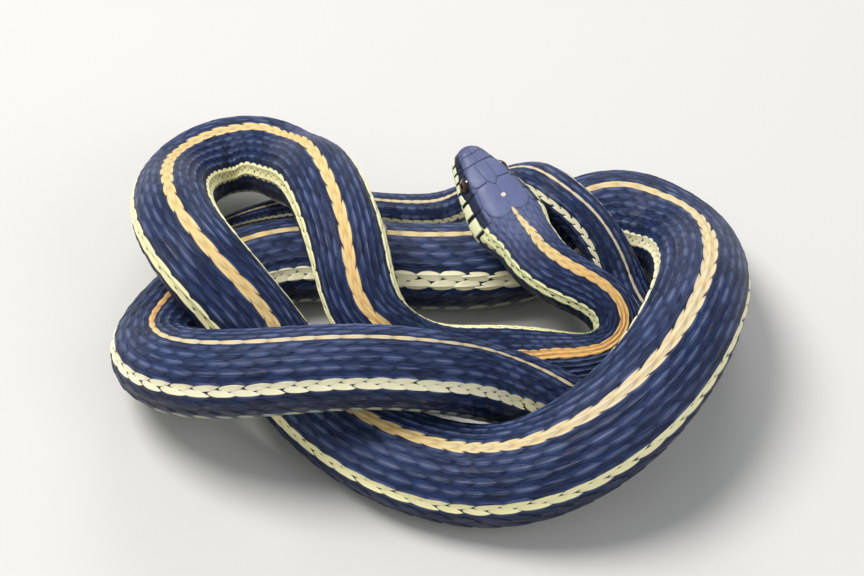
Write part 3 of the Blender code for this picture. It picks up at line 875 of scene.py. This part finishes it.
# Colours of the body
NAVY = (0.02, 0.04, 0.12, 1.0)
NAVY_DEEP = (0.006, 0.011, 0.033, 1.0)
# A painted highlight: the paler blue sheen laid along the keels of the scales
KEEL_HIGHLIGHT_BLUE = (0.135, 0.168, 0.285, 1.0)
FLANK_GREY = (0.075, 0.066, 0.085, 1.0)
STRIPE_CREAM = (0.67, 0.57, 0.385, 1.0)
STRIPE_YELLOW = (0.77, 0.6, 0.27, 1.0)
STRIPE_ORANGE = (0.82, 0.45, 0.14, 1.0)
STRIPE_SEAM = (0.42, 0.22, 0.08, 1.0)
SIDE_CREAM = (0.95, 0.9, 0.62, 1.0)
SIDE_YELLOW = (0.98, 0.93, 0.5, 1.0)
SIDE_GREEN = (0.93, 0.95, 0.5, 1.0)
SCUTE_GREEN = (0.34, 0.39, 0.33, 1.0)
SCUTE_YELLOW = (0.42, 0.43, 0.33, 1.0)
SCUTE_EDGE = (0.6, 0.62, 0.5, 1.0)
THROAT_CREAM = (0.56, 0.6, 0.45, 1.0)

# Colours of the head
CROWN_GREY = (0.115, 0.14, 0.27, 1.0)
CROWN_PURPLE = (0.085, 0.085, 0.15, 1.0)
SNOUT_BLUE = (0.05, 0.06, 0.12, 1.0)
FACE_BLUE = (0.014, 0.018, 0.042, 1.0)
SPOT_CREAM = (0.75, 0.72, 0.55, 1.0)
LIP_CREAM = (0.96, 0.98, 0.62, 1.0)
LIP_BLACK = (0.012, 0.013, 0.022, 1.0)
JAW_CREAM = (0.6, 0.63, 0.4, 1.0)
CHIN_CREAM = (0.6, 0.62, 0.48, 1.0)
CHIN_GREEN = (0.5, 0.54, 0.42, 1.0)
HIDDEN_CROWN = (0.1, 0.122, 0.235, 1.0)
HIDDEN_JAW = (0.2, 0.22, 0.17, 1.0)

# The eye from its middle outwards: pupil, bright ring, brown iris, and a dark rim that is painted shade
# where the eye meets its socket
EYE_RINGS = ((0.0, (0.004, 0.004, 0.004, 1.0)), (0.31, (0.004, 0.004, 0.004, 1.0)),
             (0.33, (0.42, 0.24, 0.07, 1.0)), (0.37, (0.17, 0.08, 0.03, 1.0)),
             (0.48, (0.06, 0.03, 0.016, 1.0)), (0.58, (0.008, 0.007, 0.007, 1.0)))
IRIS_SHADE = (0.02, 0.012, 0.008, 1.0)

# Half the width of the back stripe, in rows of scales, at distances from the nape
STRIPE_HALF_WIDTH = ((-9, 0.1), (-4, 0.5), (0, 0.85), (8, 1.25), (30, 1.25), (60, 1.05), (90, 0.92),
                     (120, 0.82), (160, 0.82), (210, 0.88), (250, 0.76), (290, 0.72), (320, 0.78),
                     (350, 0.95), (370, 0.62), (400, 0.5), (460, 0.48), (490, 0.42), (510, 0.36),
                     (590, 0.32), (640, 0.21), (700, 0.21), (767, 0.26))
# The colour of the back stripe: 0 cream, 0.5 yellow, 1 orange
STRIPE_WARMTH = ((-9, 0.45), (4, 0.5), (12, 0.8), (28, 0.85), (50, 0.8), (80, 0.7), (120, 0.55),
                 (170, 0.5), (220, 0.55), (262, 0.6), (290, 0.15), (350, 0.15), (400, 0.35), (465, 0.35),
                 (482, 1.0), (504, 1.0), (518, 0.15), (600, 0.1), (767, 0.1))
# The middle row of the side stripe, and how wide the stripe is beside its usual width
SIDE_STRIPE_ROW = 6.5
SIDE_WIDTH = ((-9, 1.4), (25, 1.2), (60, 1.0), (110, 1.25), (205, 1.3), (240, 0.9), (270, 0.75),
              (340, 0.75), (375, 0.95), (395, 1.35), (425, 1.35), (450, 1.0), (500, 0.8), (590, 0.8),
              (625, 0.45), (767, 0.4))
# The pale spot on the crown: its distance from the nape, half its length, and half its width in degrees
SPOT_PLACE = -11.5
SPOT_REACH = 0.45
SPOT_TURN = 4.5


class Value:
    """What a node gives out. Numbers take the usual arithmetic, each step a node of its own."""

    def __init__(self, nodes, socket):
        self.nodes = nodes
        self.socket = socket

    def __add__(self, other):
        return self.nodes.maths("ADD", self, other)

    def __sub__(self, other):
        return self.nodes.maths("SUBTRACT", self, other)

    def __rsub__(self, other):
        return self.nodes.maths("SUBTRACT", other, self)

    def __mul__(self, other):
        return self.nodes.maths("MULTIPLY", self, other)

    def __truediv__(self, other):
        return self.nodes.maths("DIVIDE", self, other)

    def __abs__(self):
        return self.nodes.maths("ABSOLUTE", self)


class Nodes:
    """Short ways to add nodes to a tree and join them."""

    def __init__(self, tree):
        self.tree = tree

    def feed(self, socket, value):
        if isinstance(value, Value):
            self.tree.links.new(value.socket, socket)
        else:
            socket.default_value = value

    def put(self, kind, inputs=None, **settings):
        node = self.tree.nodes.new(kind)
        for key, value in settings.items():
            setattr(node, key, value)
        for key, value in (inputs or {}).items():
            self.feed(node.inputs[key], value)
        return node

    def value(self, kind, inputs=None, output=0, **settings):
        return Value(self, self.put(kind, inputs, **settings).outputs[output])

    def use(self, group, **numbers):
        """Places a node group, and gives its outputs in order."""
        node = self.put("ShaderNodeGroup", numbers, node_tree=group)
        return [Value(self, socket) for socket in node.outputs]

    def maths(self, operation, *values):
        return self.value("ShaderNodeMath", dict(enumerate(values)), operation=operation)

    def larger(self, one, two):
        return self.maths("MAXIMUM", one, two)

    def clamp(self, value):
        return self.value("ShaderNodeClamp", {"Value": value})

    def step(self, value, low, high):
        """0 below low, 1 above high, smooth between, also where high is below low."""
        inputs = {"Value": value, "From Min": low, "From Max": high}
        return self.value("ShaderNodeMapRange", inputs, interpolation_type="SMOOTHSTEP")

    def blend(self, share, one, two):
        return self.value("ShaderNodeMix", {0: share, 6: one, 7: two}, 2, data_type="RGBA")

    def ramp(self, value, stops):
        node = self.put("ShaderNodeValToRGB", {0: value})
        elements = node.color_ramp.elements
        while len(elements) < len(stops):
            elements.new(0.5)
        for element, (place, colour) in zip(elements, stops):
            element.position = place
            element.color = colour
        return Value(self, node.outputs[0])

    def table(self, value, pairs):
        """The value's height in a table of (place, height) pairs, straight between them."""
        low, high = pairs[0][0], pairs[-1][0]
        stops = [((place - low) / (high - low), (height, height, height, 1.0)) for place, height in pairs]
        return self.ramp((value - low) / (high - low), stops)

    def noise(self, vector, scale, detail=2.0, rough=0.5):
        inputs = {"Vector": vector, "Scale": scale, "Detail": detail, "Roughness": rough}
        return self.value("ShaderNodeTexNoise", inputs, "Fac")

    def vector(self, x, y, z=0.0):
        return self.value("ShaderNodeCombineXYZ", {0: x, 1: y, 2: z})

    def object_place(self):
        return self.value("ShaderNodeTexCoord", output="Object")

    def number(self, name):
        return self.value("ShaderNodeAttribute", output="Fac", attribute_name=name)

    def uv(self, name):
        place = self.value("ShaderNodeUVMap", uv_map=name)
        outputs = self.put("ShaderNodeSeparateXYZ", {0: place}).outputs
        return Value(self, outputs[0]), Value(self, outputs[1])


def new_group(name, numbers, outputs):
    """A node group: a way to add its nodes, the numbers it is given, and its output sockets."""
    tree = bpy.data.node_groups.new(name, "ShaderNodeTree")
    for label in numbers:
        tree.interface.new_socket(name=label, in_out="INPUT", socket_type="NodeSocketFloat")
    for label, kind in outputs:
        tree.interface.new_socket(name=label, in_out="OUTPUT", socket_type=kind)
    nodes = Nodes(tree)
    given = nodes.put("NodeGroupInput").outputs
    return nodes, [Value(nodes, given[n]) for n in numbers], nodes.put("NodeGroupOutput").inputs


def grain_group():
    """A fine grain, and a roughness that follows it."""
    nodes, given, out = new_group("fine_grain", ("Scale", "Detail", "Smoothest", "Spread"),
                                  (("Grain", "NodeSocketFloat"), ("Roughness", "NodeSocketFloat")))
    scale, detail, smoothest, spread = given
    grain = nodes.noise(nodes.object_place(), scale, detail)
    nodes.feed(out["Grain"], grain)
    nodes.feed(out["Roughness"], grain * spread + smoothest)
    return nodes.tree


def markings_group():
    """The pattern of the body: a stripe down the back and one along each side, on navy black."""
    nodes, given, out = new_group("garter_markings", ("Distance", "Row", "Along", "Across", "Tone"),
                                  (("Color", "NodeSocketColor"), ("Stripe", "NodeSocketFloat")))
    s, row, along, across, tone = given
    rough = nodes.noise(nodes.vector(s * 0.22, row * 0.9), 1.0, 3.0) - 0.5
    lengthwise = (along - 0.7) / (tone * 0.08 + 0.34)
    lengthwise = lengthwise * lengthwise
    scallop = nodes.clamp(lengthwise)
    # The back stripe starts as a point on the nape, and each of its scales rounds its edge
    half = nodes.table(s, STRIPE_HALF_WIDTH) * (tone * 0.12 + 0.94) + rough * 0.2
    half = half * (1.09 - scallop * 0.3)
    back = nodes.step(half - row, -0.03, 0.05) * nodes.step(s, -8.3, -7.0)
    # Blobs of the side stripe, on the third and fourth rows from the belly
    off = abs(row - SIDE_STRIPE_ROW) / nodes.table(s, SIDE_WIDTH) - 0.26
    off = off / (rough * 0.2 + 0.42)
    side = nodes.step(off * off + lengthwise, 1.08, 0.85)
    # Ground, with a painted highlight as a paler blue streak along the keels, a grey nape, dark flanks
    # and a pale throat
    streak = nodes.noise(nodes.vector(s * 0.35, row * 6.0, tone), 1.0, 3.0, 0.6)
    # The keel mask places a painted highlight along the middle of each scale
    keel = nodes.step(abs(across), 0.55, 0.05) * nodes.step(abs(along - 0.68), 0.34, 0.08)
    keel = keel * nodes.step(streak + tone * 0.3, 0.42, 0.9)
    ground = nodes.blend(nodes.step(streak + tone * 0.2, 0.35, 0.8), NAVY_DEEP, NAVY)
    ground = nodes.blend(keel * 0.75, ground, KEEL_HIGHLIGHT_BLUE)
    nape = nodes.step(s + (streak - 0.5) * 8.0, 11.0, -10.0)
    ground = nodes.blend(nape * 0.9, ground, CROWN_GREY)
    mottle = nodes.noise(nodes.vector(s * 0.5, row * 2.2, tone), 1.0, 3.0)
    flank = nodes.blend(nodes.step(mottle, 0.5, 0.68), NAVY_DEEP, FLANK_GREY)
    ground = nodes.blend(nodes.step(row, 7.1, 8.2) * 0.8, ground, flank)
    ground = nodes.blend(nodes.step(row, 9.35, 9.7), ground, THROAT_CREAM)
    # Colours of the stripes, warmer at the root of each scale and darker between them
    patch = nodes.noise(nodes.vector(s * 0.05, 3.0, tone * 0.6), 1.0, 2.0)
    warmth = nodes.table(s, STRIPE_WARMTH) + (patch - 0.5) * 0.5 + (0.62 - along) * 0.75
    back_colour = nodes.ramp(nodes.clamp(warmth), ((0.0, STRIPE_CREAM), (0.5, STRIPE_YELLOW),
                                                   (1.0, STRIPE_ORANGE)))
    seam = nodes.larger(nodes.step(abs(across), 0.72, 0.98), scallop * 0.7)
    back_colour = nodes.blend(seam * 0.34, back_colour, STRIPE_SEAM)
    side_colour = nodes.blend(nodes.step(s, 440.0, 250.0), SIDE_CREAM, SIDE_YELLOW)
    side_colour = nodes.blend(nodes.step(s, 90.0, 20.0), side_colour, SIDE_GREEN)
    side_colour = nodes.blend(mottle * 0.2, side_colour, STRIPE_CREAM)
    colour = nodes.blend(side, ground, side_colour)
    nodes.feed(out["Color"], nodes.blend(back, colour, back_colour))
    nodes.feed(out["Stripe"], nodes.larger(side, back))
    return nodes.tree


def new_material(name, roughness, coat=0.0, coat_roughness=0.25, specular=0.25):
    material = bpy.data.materials.new(name)
    material.use_nodes = True
    shader = material.node_tree.nodes["Principled BSDF"]
    for key, value in (("Roughness", roughness), ("Coat Weight", coat),
                       ("Coat Roughness", coat_roughness), ("Specular IOR Level", specular)):
        shader.inputs[key].default_value = value
    return material, Nodes(material.node_tree), shader


def finish(nodes, shader, colour, roughness, height, distance):
    """Joins a material's colour, roughness and bump to its shader."""
    nodes.feed(shader.inputs["Base Color"], colour)
    nodes.feed(shader.inputs["Roughness"], roughness)
    bump = nodes.value("ShaderNodeBump", {"Height": height, "Distance": distance})
    nodes.feed(shader.inputs["Normal"], bump)


def scale_material(markings, grains):
    material, nodes, shader = new_material("scales", 0.42, coat=0.04, specular=0.18)
    along, across = nodes.uv("scale_place")
    root, row = nodes.uv("scale_root")
    tone = nodes.number("tone")
    colour, stripe = nodes.use(markings, Distance=root + along * 6.0, Along=along, Across=across,
                               Row=abs(row + across * SCALE_HALF_WIDTH), Tone=tone)
    root_shade = nodes.step(along, 0.55, 0.2) * 0.5 * (1.0 - stripe * 0.6)
    colour = nodes.blend(root_shade, colour, NAVY_DEEP)
    grain, rough = nodes.use(grains, Scale=2600.0, Detail=2.0, Smoothest=0.34, Spread=0.18)
    fine = nodes.noise(nodes.vector(along * 2.0, across * 9.0, tone * 9.0), 1.6, 3.0)
    finish(nodes, shader, colour, rough + stripe * 0.12, fine + grain * 0.4, 0.00006)
    return material


def skin_material(markings, grains):
    """The markings again, darkened with painted shade where they show between the scales, and dark seams
    on the head.
    """
    material, nodes, shader = new_material("skin", 0.6)
    s, row = nodes.uv("body_place")
    colour, _ = nodes.use(markings, Distance=s, Row=abs(row), Along=0.68, Across=0.5, Tone=0.5)
    # Painted shade: the skin showing between the scales is darkened towards navy black
    colour = nodes.blend(0.55, colour, NAVY_DEEP)
    dark = nodes.larger(nodes.step(row, 4.6, 5.4), nodes.step(s, -24.0, -25.0))
    hidden = nodes.blend(dark, HIDDEN_CROWN, NAVY_DEEP)
    hidden = nodes.blend(nodes.step(row, 8.7, 9.0), hidden, HIDDEN_JAW)
    colour = nodes.blend(nodes.step(s, -4.0, -7.0), colour, hidden)
    grain, rough = nodes.use(grains, Scale=1500.0, Detail=3.0, Smoothest=0.5, Spread=0.2)
    finish(nodes, shader, colour, rough, grain, 0.00008)
    return material


def scute_material(grains):
    """Greenish scutes with a dark spot near each end and a pale edge."""
    material, nodes, shader = new_material("belly_scutes", 0.35, coat=0.1)
    along, angle = nodes.uv("scale_place")
    root, _ = nodes.uv("scale_root")
    tone = nodes.number("tone")
    mottle = nodes.noise(nodes.vector(root * 0.5, angle * 0.06, tone), 1.0, 3.0)
    colour = nodes.blend(nodes.step(mottle, 0.4, 0.65), SCUTE_GREEN, SCUTE_YELLOW)
    spot = nodes.step(abs(angle - 180.0), 38.0, 58.0) * nodes.step(along + mottle * 0.5, 0.85, 0.6)
    colour = nodes.blend(spot, colour, NAVY_DEEP)
    colour = nodes.blend(nodes.step(along, 0.97, 1.0) * 0.4, colour, SCUTE_EDGE)
    grain, rough = nodes.use(grains, Scale=1800.0, Detail=2.0, Smoothest=0.28, Spread=0.15)
    finish(nodes, shader, colour, rough, grain, 0.00004)
    return material


def shield_material(grains):
    """Slate crown, pale lips with black bars, and a pale jaw and chin."""
    material, nodes, shader = new_material("head_shields", 0.4, coat=0.1)
    along, across = nodes.uv("scale_place")
    _, kind = nodes.uv("scale_root")
    s, angle = nodes.uv("head_place")
    grain, _ = nodes.use(grains, Scale=900.0, Detail=3.0)
    fine, rough = nodes.use(grains, Scale=4000.0, Detail=2.0, Smoothest=0.36, Spread=0.16)
    crown = nodes.blend(nodes.step(s + (grain - 0.5) * 5.0, -10.0, 10.0), CROWN_GREY, NAVY)
    crown = nodes.blend(nodes.step(grain, 0.45, 0.7) * 0.25, crown, CROWN_PURPLE)
    crown = nodes.blend(nodes.step(s, -15.0, -23.0) * 0.35, crown, SNOUT_BLUE)
    dark_side = nodes.step(angle + grain * 6.0, 50.0, 58.0) * nodes.step(kind, 19.2, 20.0)
    crown = nodes.blend(dark_side * 0.9, crown, FACE_BLUE)
    # A small pale spot over the seam between the parietals
    spot_along = (s - SPOT_PLACE) / SPOT_REACH
    spot_across = angle / SPOT_TURN
    reach = spot_along * spot_along + spot_across * spot_across
    crown = nodes.blend(nodes.step(reach, 1.1, 0.7), crown, SPOT_CREAM)
    bar = nodes.larger(nodes.step(along, 0.74, 0.88), nodes.step(along, 0.12, 0.04))
    bar = nodes.larger(bar, nodes.step(across + grain * 0.4, -0.5, -0.8))
    lips = nodes.blend(bar, LIP_CREAM, LIP_BLACK)
    jaw = nodes.blend(nodes.step(along, 0.84, 0.95) * 0.9, JAW_CREAM, LIP_BLACK)
    chin = nodes.blend(grain, CHIN_CREAM, CHIN_GREEN)
    colour = crown
    for name, part in (("upper_lip", lips), ("lower_lip", jaw), ("chin", chin)):
        share = nodes.step(kind, KINDS[name] - 0.6, KINDS[name] - 0.4)
        colour = nodes.blend(share, colour, part)
    finish(nodes, shader, colour, rough, grain + fine * 0.5, 0.00005)
    return material


def eye_material(grains):
    material, nodes, shader = new_material("eye", 0.06, coat=1.0, coat_roughness=0.02)
    streak, _ = nodes.use(grains, Scale=5000.0, Detail=3.0)
    # The outermost dark ring is painted shade at the edge of the socket
    rings = nodes.ramp(nodes.number("lean") / 90.0, EYE_RINGS)
    nodes.feed(shader.inputs["Base Color"], nodes.blend(streak * 0.6, rings, IRIS_SHADE))
    return material


# Floor, lights and camera

def build_floor():
    bpy.ops.object.select_all(action="DESELECT")
    bpy.ops.mesh.primitive_plane_add(size=6.0, location=(0.0, 0.0, -0.0002))
    floor = bpy.context.object
    floor.name = "floor"
    bpy.ops.object.transform_apply(location=True)
    material, _, shader = new_material("floor", 0.85)
    shader.inputs["Base Color"].default_value = (0.62, 0.61, 0.59, 1.0)
    floor.data.materials.append(material)


def add_light(name, place, size, power, colour):
    light = bpy.data.lights.new(name, "AREA")
    light.shape = "DISK"
    light.size = size
    light.energy = power
    light.color = colour
    lamp = bpy.data.objects.new(name, light)
    lamp.location = place
    lamp.rotation_euler = (-Vector(place)).to_track_quat("-Z", "Y").to_euler()
    bpy.context.scene.collection.objects.link(lamp)


def set_the_stage():
    build_floor()
    world = bpy.data.worlds.new("studio")
    world.use_nodes = True
    background = world.node_tree.nodes["Background"]
    background.inputs["Color"].default_value = (0.92, 0.95, 1.0, 1.0)
    background.inputs["Strength"].default_value = 0.42
    bpy.context.scene.world = world
    add_light("key", (-0.45, 0.1, 1.0), 0.55, 12.0, (1.0, 0.98, 0.95))
    add_light("fill", (0.8, -0.6, 0.7), 0.8, 3.0, (0.93, 0.96, 1.0))
    add_light("rim", (0.1, 0.9, 0.6), 0.5, 3.0, (1.0, 1.0, 1.0))
    camera = bpy.data.cameras.new("camera")
    camera.lens = LENS
    camera.sensor_width = 36.0
    camera.clip_start = 0.01
    view = bpy.data.objects.new("camera", camera)
    tilt = math.radians(ELEVATION)
    away = Vector((0.0, -math.cos(tilt), math.sin(tilt))) * DISTANCE
    view.location = (Vector(AIM) + away) * MM
    view.rotation_euler = (math.radians(90.0 - ELEVATION), 0.0, 0.0)
    bpy.context.scene.collection.objects.link(view)
    bpy.context.scene.camera = view
    bpy.context.scene.view_settings.view_transform = "Standard"


def main():
    body = Body()
    markings = markings_group()
    grains = grain_group()
    skin = build_skin(body, skin_material(markings, grains))
    flesh = [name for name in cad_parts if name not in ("eye_left", "eye_right")]
    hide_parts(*flesh)
    coat_material = scale_material(markings, grains)
    pattern = model_scale()
    places = scale_rows(body)
    pieces = [skin]
    for name, rows in (("scales_back", range(-2, 3)), ("scales_left", range(3, 13)),
                       ("scales_right", range(-12, -2))):
        chosen = [p for p in places if p[0] in rows]
        pieces.append(build_scales(body, name, chosen, pattern, coat_material))
    pieces.append(build_belly(body, scute_material(grains)))
    pieces.append(build_shields(body, shield_material(grains)))
    for piece in pieces:
        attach(piece, "root")
    gloss = eye_material(grains)
    for sign, side in ((-1.0, "left"), (1.0, "right")):
        eye = build_eye(body, sign, side + "_eye", gloss)
        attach(eye, "root")
        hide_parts("eye_" + side)
    set_the_stage()


main()
